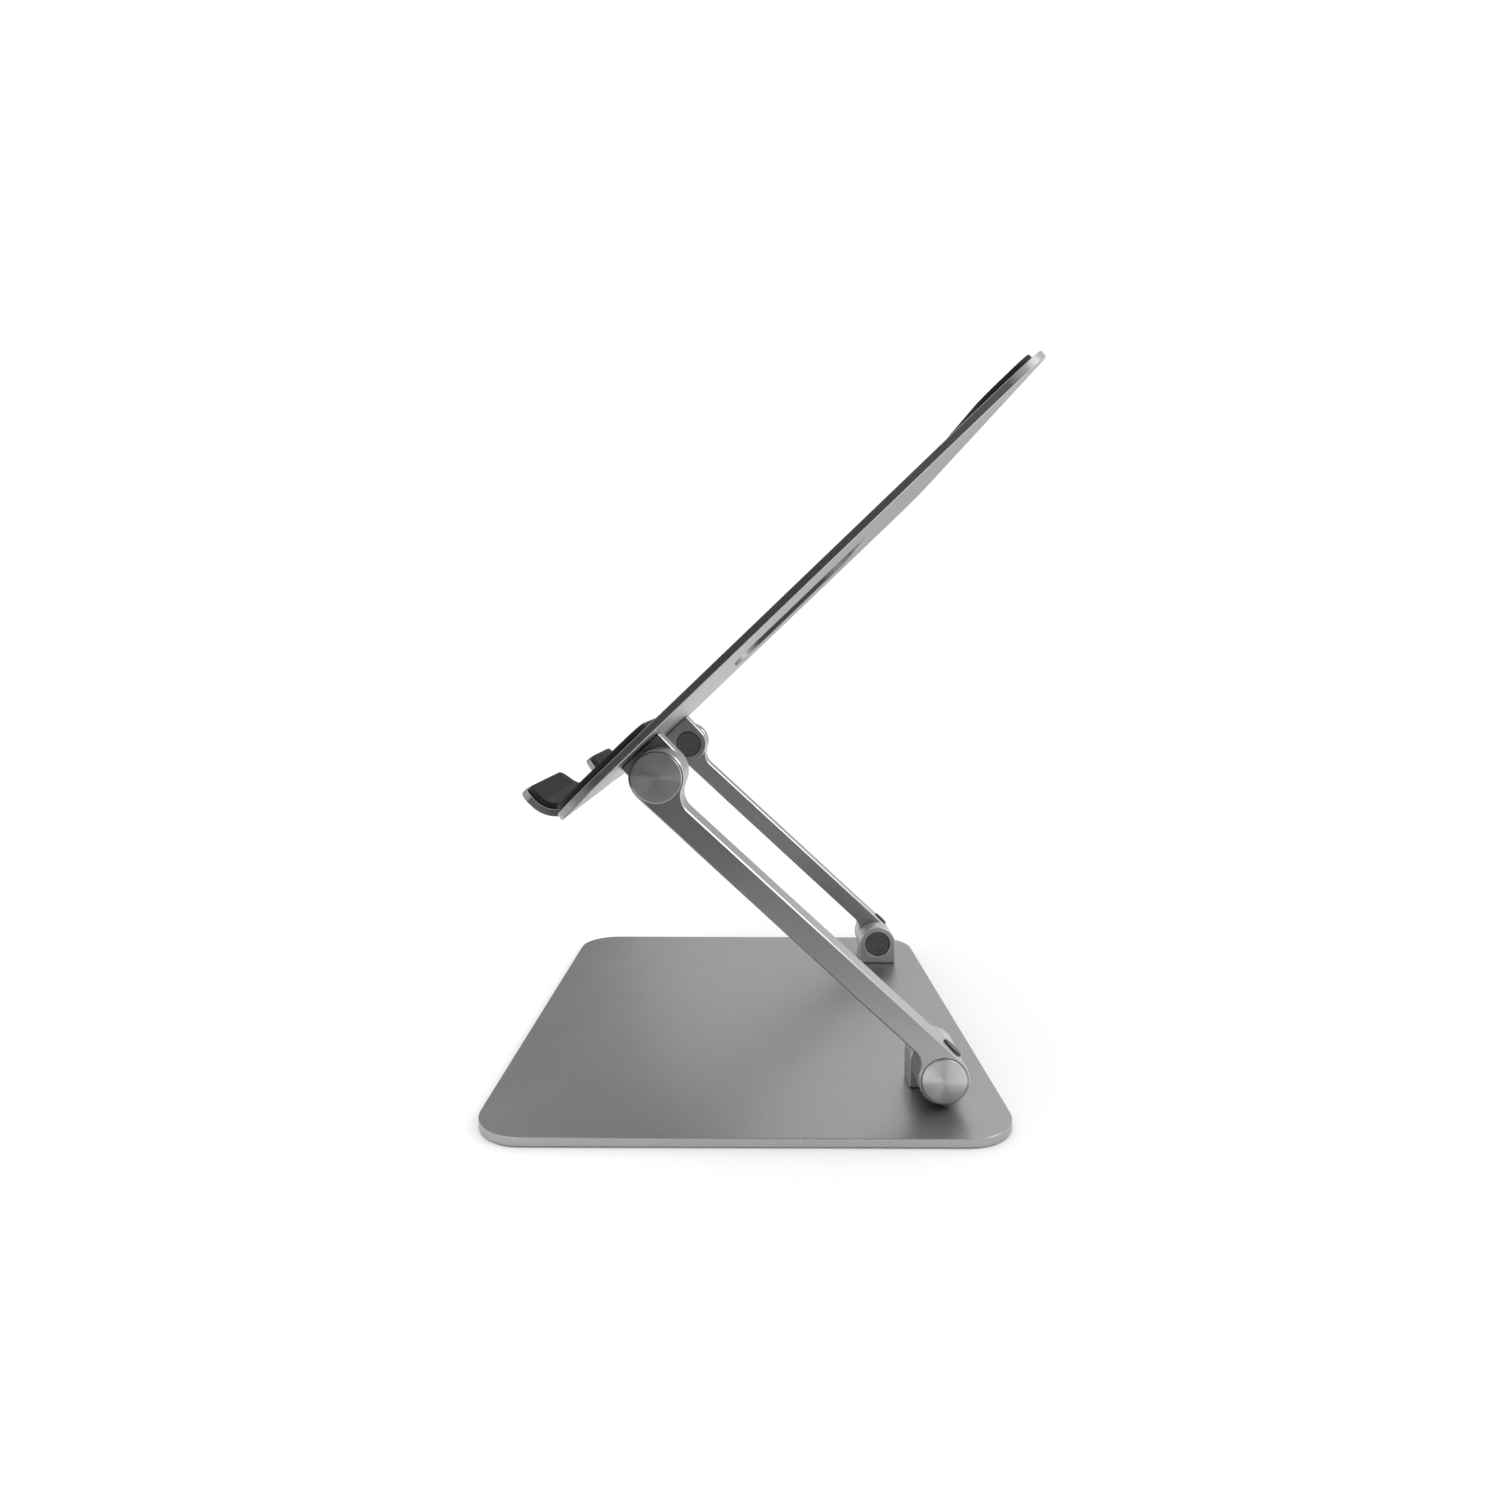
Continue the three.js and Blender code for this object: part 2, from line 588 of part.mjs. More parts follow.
/** The silicone liner of one lip, bent on from the lip's inner face up the tray's lower end. */
function gripPad(label, side) {
  const lipInside = LIP_FACE + TRAY_THICKNESS + SEAM;
  const trayInside = TRAY_FACE + SEAM;
  const bend = LIP_BEND - TRAY_THICKNESS - SEAM;
  const sheet = bentSheet(lipInside, bend, trayInside, SILICONE_THICKNESS, GRIP_TOP, LIP_TIP - LINING_INSET);
  const inner = LIP_ROOT_INNER + LINING_INSET;
  const outer = TRAY_WIDTH / 2 - GRIP_SIDE_INSET;
  const low = TRAY_BOTTOM + GRIP_INSET;
  const plan = roundedOutline(onSide([
    [inner, low, 0],
    [outer, low, TRAY_CORNER_BOTTOM - GRIP_SIDE_INSET],
    [outer, GRIP_TOP, PAD_CORNER],
    [inner, GRIP_TOP, PAD_CORNER],
  ], side));
  const width = solid(crossPiece(sheet, side * LIP_ROOT_INNER, side * outer));
  const onTray = solid(slab(plan, TRAY_LIFT, trayInside + SILICONE_THICKNESS + SLACK));
  const inLip = solid(curtain(lipOutline(side, LINING_INSET), LIP_FACE - SLACK, low));
  return piece(`grip_pad_${label}`, 'silicone', geometryOf(width.intersect(onTray.add(inLip))));
}

/** The silicone pad by an upper corner of the tray; its lower edge slopes down towards the middle. */
function headPad(label, side) {
  const outer = TRAY_WIDTH / 2 - HEAD_PAD_SIDE_INSET;
  const top = TRAY_TOP - HEAD_PAD_INSET;
  const plan = roundedOutline(onSide([
    [HEAD_PAD_INNER, HEAD_PAD_INNER_START, PAD_CORNER],
    [outer, HEAD_PAD_OUTER_START, PAD_CORNER],
    [outer, top, TRAY_CORNER_TOP - HEAD_PAD_SIDE_INSET],
    [HEAD_PAD_INNER, top, PAD_CORNER],
  ], side));
  const back = TRAY_FACE + SEAM;
  return piece(`head_pad_${label}`, 'silicone', slab(plan, back, back + SILICONE_THICKNESS));
}

// ---------------------------------------------------------------------------
// Assembly
// ---------------------------------------------------------------------------
const BRACKET_HOLE_DEPTH = 5.4;
const EAR_HOLE_DEPTH = 7;
const BASE_SCREW_HEAD = PAD_THICKNESS + SEAM + SCREW_HEAD_SINK;
const BASE_SCREW_TIP = BASE_TOP + BRACKET_HOLE_DEPTH - PLAY;
const EAR_SCREW_TIP = TRAY_LIFT - SEAM - EAR_HOLE_DEPTH + PLAY;

const stand = new THREE.Group();
const lowerHinge = new THREE.Group();
lowerHinge.position.set(0, LOWER_PIVOT_BACK, BASE_TOP + PIVOT_HEIGHT);
const arms = new THREE.Group();
arms.rotation.x = -radians(ARM_RISE);
const upperHinge = new THREE.Group();
upperHinge.position.set(0, -PIVOT_SPAN, 0);
const tray = new THREE.Group();
tray.rotation.x = radians(ARM_RISE + TRAY_RISE);

stand.add(basePlate(), basePad(), lowerHinge);
lowerHinge.add(arms);
arms.add(upperHinge);
upperHinge.add(tray);
tray.add(trayPanel());

for (const [label, side] of Object.entries(SIDES)) {
  const bracket = lug(`bracket_${label}`, BRACKET_RADIUS, SEAM - PIVOT_HEIGHT, BRACKET_HOLE_DEPTH);
  const ear = lug(`ear_${label}`, EAR_RADIUS, TRAY_LIFT - SEAM, EAR_HOLE_DEPTH);
  lowerHinge.add(turnedTo(side, bracket));
  tray.add(turnedTo(side, ear), gripPad(label, side), headPad(label, side));
  arms.add(arm(label, side), bumper(label, side));
  for (const mesh of hingeHardware('lower', label, LOWER_CAP)) {
    lowerHinge.add(turnedTo(side, mesh));
  }
  for (const mesh of hingeHardware('upper', label, UPPER_CAP)) {
    upperHinge.add(turnedTo(side, mesh));
  }
  for (const [end, place] of Object.entries({ front: -1, rear: 1 })) {
    const x = side * SCREW_STATION;
    const y = place * SCREW_SPREAD;
    stand.add(countersunkScrew(
      `base_screw_${label}_${end}`, x, LOWER_PIVOT_BACK + y, BASE_SCREW_HEAD, BASE_SCREW_TIP,
    ));
    tray.add(countersunkScrew(`ear_screw_${label}_${end}`, x, y, EAR_SCREW_HEAD, EAR_SCREW_TIP));
  }
}

export default stand;
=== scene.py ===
"""Looks of a folding tablet stand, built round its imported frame.

Lengths are millimetres in the frame of the piece they belong to, and become
metres when a mesh is made. The arms' frame lies on the lower hinge axis and the
tray's on the upper one, both with X along the hinge axes.
"""

import json
import math

import bmesh
import bpy
from mathutils import Matrix, Vector


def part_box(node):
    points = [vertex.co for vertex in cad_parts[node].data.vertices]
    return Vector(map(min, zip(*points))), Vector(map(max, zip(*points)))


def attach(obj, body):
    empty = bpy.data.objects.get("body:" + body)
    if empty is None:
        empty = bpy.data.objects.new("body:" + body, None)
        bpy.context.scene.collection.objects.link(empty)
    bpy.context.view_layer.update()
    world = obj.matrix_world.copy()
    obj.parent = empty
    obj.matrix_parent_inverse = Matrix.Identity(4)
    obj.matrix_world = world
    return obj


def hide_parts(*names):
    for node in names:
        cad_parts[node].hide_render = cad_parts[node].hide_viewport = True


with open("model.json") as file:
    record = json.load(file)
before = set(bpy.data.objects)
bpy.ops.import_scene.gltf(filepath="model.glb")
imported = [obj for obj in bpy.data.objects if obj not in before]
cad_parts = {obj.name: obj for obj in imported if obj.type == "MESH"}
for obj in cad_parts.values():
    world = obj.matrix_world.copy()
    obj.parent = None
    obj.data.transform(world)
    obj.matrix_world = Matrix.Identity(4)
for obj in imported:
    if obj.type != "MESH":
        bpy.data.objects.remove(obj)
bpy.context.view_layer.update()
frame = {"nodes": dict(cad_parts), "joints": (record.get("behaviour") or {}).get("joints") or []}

MM = 0.001
SIDES = {"left": -1, "right": 1}
ENDS = ("front", "rear")

# ---------------------------------------------------------------------------
# Dimensions, as in the CAD source
# ---------------------------------------------------------------------------
SEAM = 0.12

BASE_HALF_WIDTH = 120
BASE_HALF_DEPTH = 100
BASE_CORNER = 20
PAD_TOP = 0.4
PAD_INSET = 3
BASE_BOTTOM = PAD_TOP + SEAM
BASE_TOP = 3.8

LOWER_PIVOT = Vector(frame["joints"][0]["pos_m"]) / MM
UPPER_PIVOT = Vector(frame["joints"][1]["pos_m"]) / MM
PIVOT_SPAN = (UPPER_PIVOT - LOWER_PIVOT).length
ARM_RISE = math.degrees(math.atan2(UPPER_PIVOT.z - LOWER_PIVOT.z, LOWER_PIVOT.y - UPPER_PIVOT.y))
TRAY_RISE = 43.85

LUG_INNER = 70
LUG_OUTER = 82
ARM_INNER = 82.5
ARM_OUTER = 98.6
WEB_OUTER = 88
WASHER_FLOOR = ARM_INNER + 1.2
WASHER_POCKET = 8.3
BOLT_BORE = 4.3
PLUG_POCKET = 7.1
PLUG_POCKET_FLOOR = 75
BRACKET_RADIUS = 10
BRACKET_FOOT = -10.98
EAR_RADIUS = 10.1
EAR_FOOT = 11.98
LOWER_BOSS = 9.8
UPPER_BOSS = 10.4
ARM_SKEW = 3.95
ARM_FILLET = 8
CAPS = {"lower": 8.6, "upper": 9.5}
CAP_FACE = 99.4
CAP_THICKNESS = 2.2
CAP_PLAY = 0.15
PLUG_RADIUS = 6.8
PLUG_FACE = 70.8
PLUG_BACK = 72

BUMPER_STATION = 90.5
BUMPER_ALONG = 3
BUMPER_RADIUS = 4.1
BUMPER_PROUD = 0.9
BUMPER_DEPTH = 0.28

SCREW_STATION = 78
SCREW_SPREAD = 6
SCREW_HOLE = 2.2
SCREW_SINK = 4.0
SCREW_HEAD_HEIGHT = 2
SCREW_HEAD_SINK = 0.1
BRACKET_HOLE_END = -5.58
EAR_HOLE_END = 4.98

TRAY_HALF_WIDTH = 125
TRAY_THICKNESS = 2.8
TRAY_LIFT = 12.1
TRAY_BOTTOM = -34
TRAY_TOP = 200.5
TRAY_CORNER_BOTTOM = 22
TRAY_CORNER_TOP = 24
VENT_HALF_WIDTH = 50
VENT_BOTTOM = 50
VENT_TOP = 131
VENT_CORNER = 20

BEND_START = -30.4
BEND_RADIUS = 12
BEND_HEIGHT = TRAY_LIFT + BEND_RADIUS
BEND_MIDDLE = BEND_RADIUS - TRAY_THICKNESS / 2
BEND_LENGTH = BEND_MIDDLE * math.pi / 2
BEND_STRIPS = 16
LIP_STRAIGHT = 6.9  # from the end of the bend to the lip's tip
LIP_TIP = BEND_START - BEND_LENGTH - LIP_STRAIGHT
LIP_TIP_OUTER = 93.5
LIP_ROOT_OUTER = 89.5
LIP_TIP_INNER = 38
LIP_ROOT_INNER = 18.5
LIP_OUTER_CORNER = 4.5
LIP_INNER_CORNER = 9
RELIEF_OUTER = 92
RELIEF_CORNER = 1

SILICONE = 2.2
GRIP_INSET = 2
LINING_INSET = 0.5
GRIP_SIDE = 121.5
GRIP_LOWER_CORNER = 17
GRIP_INNER = 24.5
GRIP_INNER_TURN = -37
GRIP_TOP = 12.7
HEAD_INNER = 62
HEAD_OUTER = 113
HEAD_TOP = 198
HEAD_LOW_OUTER = 171.5
HEAD_LOW_INNER = 168.5
HEAD_CORNER = 12
PAD_CORNER = 8

# Chamfers and rounded edges
BASE_EDGE = 0.2
LUG_EDGE = 0.45
ARM_EDGE = 0.5
VENT_EDGE = 0.35
TRAY_LOWER_EDGE = 0.3
TRAY_UPPER_EDGE = 0.15
POCKET_EDGE = 0.15
PLUG_POCKET_EDGE = 0.2
PAD_EDGE = 0.1
SILICONE_EDGE = 0.6
HINGE_EDGE = 0.12
SCREW_EDGE = 0.15
ARC_STEP = 4  # degrees of arc in one facet

# ---------------------------------------------------------------------------
# Outlines: lists of arcs (centre x, centre y, radius, from, to), in degrees.
# An arc that turns clockwise is a hollow corner.
# ---------------------------------------------------------------------------


def loop(arcs, inset=0.0):
    """The outline's points, moved inwards by inset. The count doesn't depend on inset."""
    points = []
    for cx, cy, radius, start, end in arcs:
        whole = abs(end - start) >= 360
        count = max(2, round(abs(end - start) / ARC_STEP))
        reach = radius - inset if end > start else radius + inset
        for step in range(count + (0 if whole else 1)):
            angle = math.radians(start + (end - start) * step / count)
            points.append((cx + reach * math.cos(angle), cy + reach * math.sin(angle)))
    return points


def circle(cx=0.0, cy=0.0):
    """A point as an outline: an inset of -r makes it a circle of radius r."""
    return [(cx, cy, 0.0, 0.0, 360.0)]


def rounded(corners):
    """Arcs for a counter-clockwise polygon of (x, y, radius) corners."""
    arcs = []
    for i, (x, y, radius) in enumerate(corners):
        corner = Vector((x, y))
        before = (Vector(corners[i - 1][:2]) - corner).normalized()
        after = (Vector(corners[(i + 1) % len(corners)][:2]) - corner).normalized()
        half = math.acos(max(-1, min(1, before.dot(after)))) / 2
        centre = corner + (before + after).normalized() * (radius / math.sin(half))
        reach = radius / math.tan(half)
        first = corner + before * reach - centre
        last = corner + after * reach - centre
        start = math.degrees(math.atan2(first.y, first.x))
        turn = math.degrees(math.atan2(first.x * last.y - first.y * last.x, first.dot(last)))
        arcs.append((centre.x, centre.y, radius, start, start + turn))
    return arcs


def rectangle(x0, y0, x1, y1, low, high=None):
    """A rounded rectangle with one radius for its lower and one for its upper corners."""
    high = low if high is None else high
    return rounded([(x0, y0, low), (x1, y0, low), (x1, y1, high), (x0, y1, high)])


def arm_outline():
    """Two bosses and a bar whose parallel edges touch each boss on one side only."""
    skew = math.radians(ARM_SKEW)
    run = Vector((-math.cos(skew), -math.sin(skew)))
    out = Vector((-math.sin(skew), math.cos(skew)))
    lower, upper = Vector((0, 0)), Vector((-PIVOT_SPAN, 0))

    def boss_end(boss, radius, edge, run, out):
        to_boss = boss - edge
        drop = ARM_FILLET - to_boss.dot(out)
        before = math.sqrt((radius + ARM_FILLET) ** 2 - drop**2)
        centre = edge + out * ARM_FILLET + run * (to_boss.dot(run) - before)
        start = math.degrees(math.atan2(-out.y, -out.x))
        contact = math.degrees(math.atan2(boss.y - centre.y, boss.x - centre.x))
        while contact > start:
            contact -= 360
        begin = contact - 180
        end = start
        while end < begin:
            end += 360
        return [
            (centre.x, centre.y, ARM_FILLET, start, contact),
            (boss.x, boss.y, radius, begin, end),
        ]

    upper_edge = lower + out * LOWER_BOSS
    lower_edge = upper - out * UPPER_BOSS
    return [
        *boss_end(upper, UPPER_BOSS, upper_edge, run, out),
        *boss_end(lower, LOWER_BOSS, lower_edge, -run, -out),
    ]


def lug_outline(radius, foot):
    """A round end on the hinge axis and a flat foot."""
    corner = 0.5
    if foot < 0:
        return [
            (0, 0, radius, 0, 180),
            (-radius + corner, foot + corner, corner, 180, 270),
            (radius - corner, foot + corner, corner, 270, 360),
        ]
    return [
        (0, 0, radius, 180, 360),
        (radius - corner, foot - corner, corner, 0, 90),
        (-radius + corner, foot - corner, corner, 90, 180),
    ]


def tray_outline():
    """The tray and its two lips before the lips are bent up."""
    return rounded(
        [
            (-TRAY_HALF_WIDTH, TRAY_BOTTOM, TRAY_CORNER_BOTTOM),
            (-RELIEF_OUTER, TRAY_BOTTOM, RELIEF_CORNER),
            (-RELIEF_OUTER, BEND_START, RELIEF_CORNER),
            (-LIP_ROOT_OUTER, BEND_START, RELIEF_CORNER),
            (-LIP_TIP_OUTER, LIP_TIP, LIP_OUTER_CORNER),
            (-LIP_TIP_INNER, LIP_TIP, LIP_INNER_CORNER),
            (-LIP_ROOT_INNER, BEND_START, LIP_INNER_CORNER),
            (LIP_ROOT_INNER, BEND_START, LIP_INNER_CORNER),
            (LIP_TIP_INNER, LIP_TIP, LIP_INNER_CORNER),
            (LIP_TIP_OUTER, LIP_TIP, LIP_OUTER_CORNER),
            (LIP_ROOT_OUTER, BEND_START, RELIEF_CORNER),
            (RELIEF_OUTER, BEND_START, RELIEF_CORNER),
            (RELIEF_OUTER, TRAY_BOTTOM, RELIEF_CORNER),
            (TRAY_HALF_WIDTH, TRAY_BOTTOM, TRAY_CORNER_BOTTOM),
            (TRAY_HALF_WIDTH, TRAY_TOP, TRAY_CORNER_TOP),
            (-TRAY_HALF_WIDTH, TRAY_TOP, TRAY_CORNER_TOP),
        ]
    )


def grip_outline():
    """A right-hand lip's lining before it is bent up, with its place on the tray."""
    low = TRAY_BOTTOM + GRIP_INSET
    return rounded(
        [
            (LIP_ROOT_OUTER - LINING_INSET, low, RELIEF_CORNER),
            (GRIP_SIDE, low, GRIP_LOWER_CORNER),
            (GRIP_SIDE, GRIP_TOP, PAD_CORNER),
            (GRIP_INNER, GRIP_TOP, PAD_CORNER),
            (GRIP_INNER, GRIP_INNER_TURN, LIP_INNER_CORNER),
            (LIP_TIP_INNER + LINING_INSET, LIP_TIP + LINING_INSET, LIP_INNER_CORNER - LINING_INSET),
            (LIP_TIP_OUTER - LINING_INSET, LIP_TIP + LINING_INSET, LIP_OUTER_CORNER - LINING_INSET),
        ]
    )


def head_outline():
    """A right-hand pad near the tray's top."""
    return rounded(
        [
            (HEAD_INNER, HEAD_LOW_INNER, PAD_CORNER),
            (HEAD_OUTER, HEAD_LOW_OUTER, PAD_CORNER),
            (HEAD_OUTER, HEAD_TOP, HEAD_CORNER),
            (HEAD_INNER, HEAD_TOP, PAD_CORNER),
        ]
    )


# ---------------------------------------------------------------------------
# Solids
# ---------------------------------------------------------------------------
ACROSS = Matrix(((0, 0, 1, 0), (1, 0, 0, 0), (0, 1, 0, 0), (0, 0, 0, 1)))


def shell(outer, levels, holes=()):
    """A slab between the first and last level. Levels are (height, inset) rings of the outline;
    each hole has an outline and levels of its own. Sloping outer bands take the second finish, a
    chamfer tone that paints a highlight or shade on the edges."""
    bm = bmesh.new()
    ends = ([], [])
    for arcs, steps in [(outer, levels), *holes]:
        rings = []
        for height, inset in steps:
            ring = [bm.verts.new((x, y, height)) for x, y in loop(arcs, inset)]
            for i, vert in enumerate(ring):
                bm.edges.new((ring[i - 1], vert))
            rings.append(ring)
        for (low, (z0, i0)), (high, (z1, i1)) in zip(
            zip(rings, steps), list(zip(rings, steps))[1:]
        ):
            for i in range(len(low)):
                face = bm.faces.new((low[i - 1], low[i], high[i], high[i - 1]))
                face.material_index = int(z0 != z1 and i0 != i1)
        for end, ring in zip(ends, (rings[0], rings[-1])):
            end.extend(bm.edges.get((ring[i - 1], v)) for i, v in enumerate(ring))
    for end in ends:
        bmesh.ops.triangle_fill(bm, use_beauty=True, edges=end)
    bmesh.ops.recalc_face_normals(bm, faces=bm.faces)
    return bm


def chamfered(low, high, edge):
    """Levels of a slab with chamfered edges."""
    return [(low, edge), (low + edge, 0), (high - edge, 0), (high, edge)]


def softened(low, high, radius, steps=3):
    """Levels of a slab with rounded edges."""
    turns = [math.pi / 2 * i / steps for i in range(steps + 1)]
    rise = [radius * (1 - math.cos(t)) for t in turns]
    inset = [radius * (1 - math.sin(t)) for t in turns]
    up = [(low + h, d) for h, d in zip(rise, inset)]
    down = [(high - h, d) for h, d in zip(reversed(rise), reversed(inset))]
    return up + down


def bored(levels):
    """Levels of a round hole from (height, radius) pairs."""
    return [(height, -radius) for height, radius in levels]


def turned(profile, segments=72):
    """A closed profile of (station, radius) corners turned round the X axis."""
    bm = bmesh.new()
    rings = []
    for station, radius in profile:
        if radius == 0:
            rings.append([bm.verts.new((station, 0, 0))])
            continue
        angles = [math.tau * i / segments for i in range(segments)]
        rings.append(
            [bm.verts.new((station, radius * math.cos(a), radius * math.sin(a))) for a in angles]
        )
    closed = profile[0][1] != 0
    following = rings[1:] + ([rings[0]] if closed else [])
    for low, high in zip(rings, following):
        for i in range(segments):
            start = [low[i - 1], low[i]] if len(low) > 1 else low
            end = [high[i], high[i - 1]] if len(high) > 1 else high
            bm.faces.new(start + end)
    bmesh.ops.recalc_face_normals(bm, faces=bm.faces)
    return bm


def bent(bm, lift):
    """Bends the lips of a flat pattern up. lift is from the tray's underside to the pattern's."""
    for strip in range(BEND_STRIPS + 1):
        at = BEND_START - BEND_LENGTH * strip / BEND_STRIPS
        geometry = [*bm.verts, *bm.edges, *bm.faces]
        bmesh.ops.bisect_plane(
            bm, geom=geometry, dist=1e-4, plane_co=(0, at, 0), plane_no=(0, 1, 0)
        )
    for vert in bm.verts:
        x, s, h = vert.co
        radius = BEND_RADIUS - lift - h
        if s >= BEND_START:
            vert.co = (x, s, TRAY_LIFT + lift + h)
        elif s >= BEND_START - BEND_LENGTH:
            turn = (BEND_START - s) / BEND_MIDDLE
            vert.co = (
                x,
                BEND_START - radius * math.sin(turn),
                BEND_HEIGHT - radius * math.cos(turn),
            )
        else:
            vert.co = (x, BEND_START - radius, BEND_HEIGHT + BEND_START - BEND_LENGTH - s)
    return bm


def mirrored(bm, side):
    """The right-hand solid, or its mirror image for the left."""
    if side < 0:
        bmesh.ops.scale(bm, vec=(-1, 1, 1), verts=bm.verts)
        bmesh.ops.reverse_faces(bm, faces=bm.faces)
    return bm


def from_cad(node, origin, bevel):
    """A CAD node's shape about an origin, with its flat faces whole and its sharp edges broken."""
    bm = bmesh.new()
    bm.from_mesh(frame["nodes"][node].data)
    bmesh.ops.remove_doubles(bm, verts=bm.verts, dist=1e-6)
    bmesh.ops.scale(bm, vec=(1 / MM,) * 3, verts=bm.verts)
    bmesh.ops.translate(bm, vec=-origin, verts=bm.verts)
    bmesh.ops.dissolve_limit(bm, angle_limit=math.radians(1), verts=bm.verts, edges=bm.edges)
    sharp = [
        e for e in bm.edges if len(e.link_faces) == 2 and e.calc_face_angle() > math.radians(25)
    ]
    bmesh.ops.bevel(
        bm, geom=sharp, offset=bevel, segments=2, profile=0.5, affect="EDGES", clamp_overlap=True
    )
    return bm


def placed(origin=Vector((0, 0, 0)), rise=0.0):
    """Where a piece's own frame lies: its origin in millimetres and its turn about X in degrees."""
    return Matrix.Translation(origin * MM) @ Matrix.Rotation(math.radians(rise), 4, "X")


def piece(name, bm, where, finishes, slot, body, *nodes, smooth=35, in_mesh=False):
    """Makes the object, gives it its finish, and ties it to the frame.

    With in_mesh the object sits at the origin and its place is in its mesh, so its own box is
    square to the frame and the turned tray doesn't count as larger than it is.
    """
    bmesh.ops.scale(bm, vec=(MM,) * 3, verts=bm.verts)
    mesh = bpy.data.meshes.new(name)
    bm.to_mesh(mesh)
    bm.free()
    mesh.polygons.foreach_set("use_smooth", [True] * len(mesh.polygons))
    mesh.set_sharp_from_angle(angle=math.radians(smooth))
    for finish in finishes:
        mesh.materials.append(finish)
    obj = bpy.data.objects.new(name, mesh)
    bpy.context.scene.collection.objects.link(obj)
    if in_mesh:
        mesh.transform(where)
    else:
        obj.matrix_world = where
    normals = obj.modifiers.new("normals", "WEIGHTED_NORMAL")
    normals.keep_sharp = True
    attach(obj, body)
    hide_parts(*nodes)
    return obj


def drill(obj, *holes):
    """Cuts round blind holes: each is (centre, radius, depth vector), in the piece's own frame."""
    for centre, radius, depth in holes:
        bm = bmesh.new()
        bmesh.ops.create_cone(
            bm, cap_ends=True, segments=32, radius1=radius * MM, radius2=radius * MM,
            depth=depth.length * MM,
            matrix=Matrix.Translation((centre + depth / 2) * MM)
            @ depth.to_track_quat("Z", "Y").to_matrix().to_4x4(),
        )
        mesh = bpy.data.meshes.new("cutter")
        bm.to_mesh(mesh)
        bm.free()
        cutter = bpy.data.objects.new("cutter", mesh)
        bpy.context.scene.collection.objects.link(cutter)
        cutter.matrix_world = obj.matrix_world
        cut = obj.modifiers.new("cut", "BOOLEAN")
        cut.object = cutter
        cut.solver = "EXACT"
        obj.modifiers.move(len(obj.modifiers) - 1, 0)
        bpy.context.view_layer.update()
        normals = obj.modifiers["normals"]
        normals.show_viewport = False
        evaluated = obj.evaluated_get(bpy.context.evaluated_depsgraph_get())
        result = bpy.data.meshes.new_from_object(evaluated)
        normals.show_viewport = True
        obj.modifiers.remove(cut)
        result.set_sharp_from_angle(angle=math.radians(35))
        result.name = obj.data.name
        obj.data = result
        bpy.data.objects.remove(cutter)


# ---------------------------------------------------------------------------
# Finishes
# ---------------------------------------------------------------------------


class Nodes:
    """A material's node tree, with short ways to add what the finishes share."""

    def __init__(self, name):
        self.material = bpy.data.materials.new(name)
        self.material.use_nodes = True
        self.tree = self.material.node_tree
        self.shader = self.tree.nodes["Principled BSDF"]
        self.place = self.add("ShaderNodeTexCoord").outputs["Object"]

    def add(self, kind, **values):
        node = self.tree.nodes.new(kind)
        for key, value in values.items():
            if key in node.inputs:
                node.inputs[key].default_value = value
            else:
                setattr(node, key, value)
        return node

    def link(self, source, target):
        self.tree.links.new(source, target)

    def noise(self, scale, detail=2.0, stretch=None):
        """Noise of about 1/scale metres across, stretched along the piece's axes."""
        place = self.place
        if stretch is not None:
            mapping = self.add("ShaderNodeMapping")
            mapping.inputs["Scale"].default_value = stretch
            self.link(place, mapping.inputs["Vector"])
            place = mapping.outputs["Vector"]
        noise = self.add("ShaderNodeTexNoise", Scale=scale, Detail=detail)
        self.link(place, noise.inputs["Vector"])
        return noise.outputs["Fac"]

    def spread(self, source, low, high, between=(0.3, 0.7)):
        """Maps a noise to a range of values."""
        spread = self.add("ShaderNodeMapRange")
        spread.inputs["From Min"].default_value = between[0]
        spread.inputs["From Max"].default_value = between[1]
        spread.inputs["To Min"].default_value = low
        spread.inputs["To Max"].default_value = high
        self.link(source, spread.inputs["Value"])
        return spread.outputs["Result"]

    def blend(self, source, dark, light):
        """A colour between two, driven by a noise."""
        mix = self.add("ShaderNodeMix", data_type="RGBA")
        mix.inputs[6].default_value = (*dark, 1)
        mix.inputs[7].default_value = (*light, 1)
        self.link(source, mix.inputs[0])
        return mix.outputs[2]

    def bump(self, *heights):
        """Stacks (noise, strength, depth in metres) reliefs on the surface."""
        normal = None
        for source, strength, depth in heights:
            bump = self.add("ShaderNodeBump", Strength=strength, Distance=depth)
            self.link(source, bump.inputs["Height"])
            if normal is not None:
                self.link(normal, bump.inputs["Normal"])
            normal = bump.outputs["Normal"]
        self.link(normal, self.shader.inputs["Normal"])


def scaled(colour, factor):
    """A colour made darker or lighter."""
    return tuple(c * factor for c in colour)


def anodised(name, colour, rough, grain):
    """Bead-blasted, anodised aluminium: a fine even grain under faint cloudy variation."""
    n = Nodes(name)
    n.shader.inputs["Metallic"].default_value = 1.0
    cloud = n.noise(38, 3)
    speck = n.noise(1400, 2)
    fine = n.noise(3200, 2)
    tone = n.blend(n.spread(cloud, 0, 1), scaled(colour, 0.98), scaled(colour, 1.02))
    speckled = n.add("ShaderNodeMix", data_type="RGBA", blend_type="MULTIPLY")
    speckled.inputs[0].default_value = 1.0
    n.link(tone, speckled.inputs[6])
    shade = n.spread(speck, 1 - 0.13 * grain, 1 + 0.1 * grain)
    n.link(shade, speckled.inputs[7])
    n.link(speckled.outputs[2], n.shader.inputs["Base Color"])
    n.link(n.spread(cloud, rough - 0.01, rough + 0.012), n.shader.inputs["Roughness"])
    n.bump((fine, 0.25 * grain, 0.00003), (speck, 0.2 * grain, 0.00005))
    return n.material


